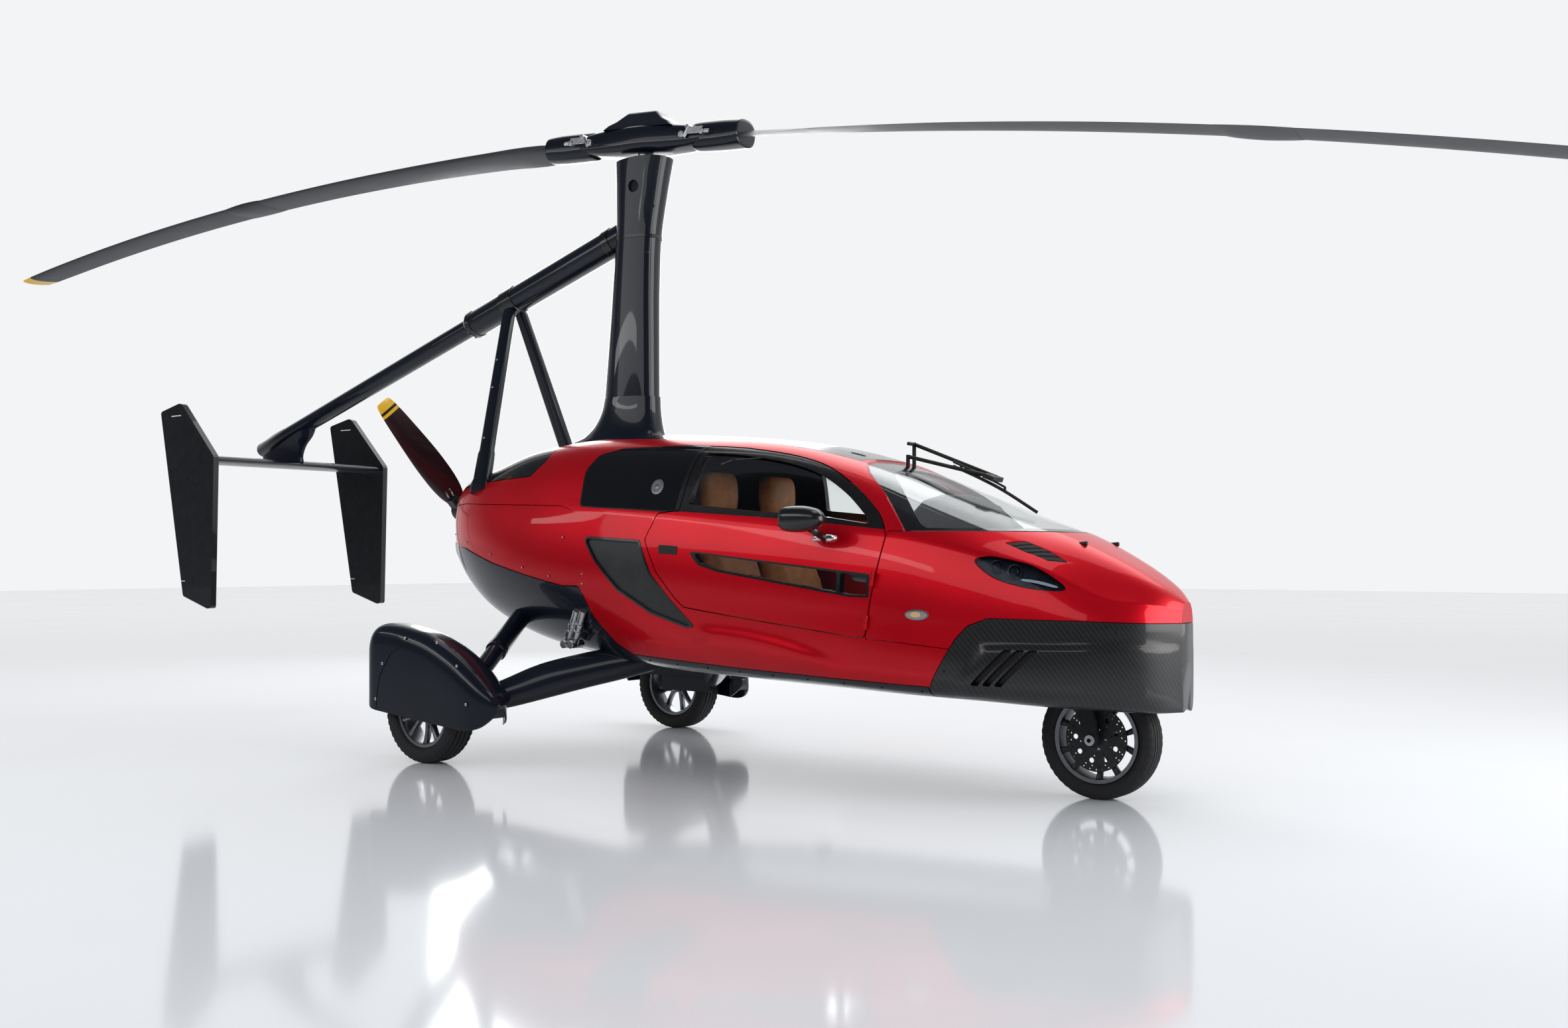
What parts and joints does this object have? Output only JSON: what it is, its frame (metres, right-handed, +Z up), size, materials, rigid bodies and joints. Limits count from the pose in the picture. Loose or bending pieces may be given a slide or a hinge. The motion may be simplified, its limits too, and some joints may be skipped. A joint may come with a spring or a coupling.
{
  "type": "flying car",
  "caption": "Three-wheeled flying car with a two-seat cabin, a mast-mounted rotor, a pusher propeller and a twin-fin tail boom.",
  "frame": {"origin": "on the ground under the middle of the machine's overall length, in its middle plane", "axes": "+X forward, +Y to the occupants' left, +Z up"},
  "size_m": [10.7076, 1.998, 3.1746],
  "materials": {
    "red_paint": "gloss",
    "carbon": "gloss",
    "screen_glass": "gloss",
    "dark_glass": "gloss",
    "black_plastic": "satin",
    "dark_paint": "gloss",
    "frame_metal": "satin",
    "leather": "satin",
    "bare_metal": "satin",
    "lamp": "gloss",
    "fork_paint": "satin",
    "tyre": "matte",
    "rim_dark": "satin",
    "rim_grey": "satin",
    "rotor_paint": "satin",
    "prop_paint": "gloss"
  },
  "bodies": {
    "body": {"nose": "red_paint", "chin": "carbon", "windshield": "screen_glass", "side_right": "red_paint", "side_left": "red_paint", "roof": "black_plastic", "quarter_glass": "dark_glass", "intakes": "black_plastic", "engine_covers": "red_paint", "rear_deck": "black_plastic", "engine_belly": "dark_paint", "floor": "dark_paint", "bulkhead": "frame_metal", "front_frame": "frame_metal", "dash": "black_plastic", "seats": "leather", "steering_wheel": "black_plastic", "engine": "frame_metal", "mast": "dark_paint", "mast_fairing": "dark_paint", "boom_front": "dark_paint", "boom_rear": "dark_paint", "struts": "dark_paint", "stabiliser": "dark_paint", "fins": "dark_paint", "arms": "dark_paint", "axles": "bare_metal", "dampers": "bare_metal", "wheel_covers": "dark_paint", "steering_head": "bare_metal", "headlamps": "lamp", "wiper": "black_plastic", "hinge_pins": "frame_metal"},
    "steering": {"fork": "fork_paint"},
    "front_wheel": {"tyre_front": "tyre", "rim_front": "rim_dark"},
    "wheel_right": {"tyre_right": "tyre", "rim_right": "rim_grey"},
    "wheel_left": {"tyre_left": "tyre", "rim_left": "rim_grey"},
    "rotor": {"rotor_head": "rotor_paint", "blades_inner": "rotor_paint", "blades_outer": "rotor_paint"},
    "propeller": {"prop_hub": "prop_paint", "prop_blades": "prop_paint"},
    "door_right": {"door_right": "red_paint", "door_glass_right": "screen_glass", "hinge_right": "frame_metal", "mirror_right": "black_plastic"},
    "door_left": {"door_left": "red_paint", "door_glass_left": "screen_glass", "hinge_left": "frame_metal", "mirror_left": "black_plastic"}
  },
  "joints": [
    {"name": "rotor_spin", "type": "hinge", "parent": "body", "child": "rotor", "pos_m": [0.04652, 0, 3.05], "axis": [0.0802, 0, 0.9968], "continuous": true},
    {"name": "propeller_spin", "type": "hinge", "parent": "body", "child": "propeller", "pos_m": [-1.31149, 0, 1.227], "axis": [1, 0, 0], "continuous": true},
    {"name": "steering_turn", "type": "hinge", "parent": "body", "child": "steering", "pos_m": [2.46852, 0, 0.242], "axis": [-0.2079, 0, 0.9781], "range_deg": [-30, 30]},
    {"name": "front_wheel_spin", "type": "hinge", "parent": "steering", "child": "front_wheel", "pos_m": [2.46852, 0, 0.242], "axis": [0, 1, 0], "continuous": true},
    {"name": "wheel_right_spin", "type": "hinge", "parent": "body", "child": "wheel_right", "pos_m": [-0.51148, -0.895, 0.25], "axis": [0, 1, 0], "continuous": true},
    {"name": "wheel_left_spin", "type": "hinge", "parent": "body", "child": "wheel_left", "pos_m": [-0.51148, 0.895, 0.25], "axis": [0, 1, 0], "continuous": true},
    {"name": "door_right_swing", "type": "hinge", "parent": "body", "child": "door_right", "pos_m": [1.71252, -0.568, 0.67], "axis": [0.1685, 0, 0.9857], "range_deg": [0, 65]},
    {"name": "door_left_swing", "type": "hinge", "parent": "body", "child": "door_left", "pos_m": [1.71252, 0.568, 0.67], "axis": [-0.1685, 0, -0.9857], "range_deg": [0, 65]}
  ]
}
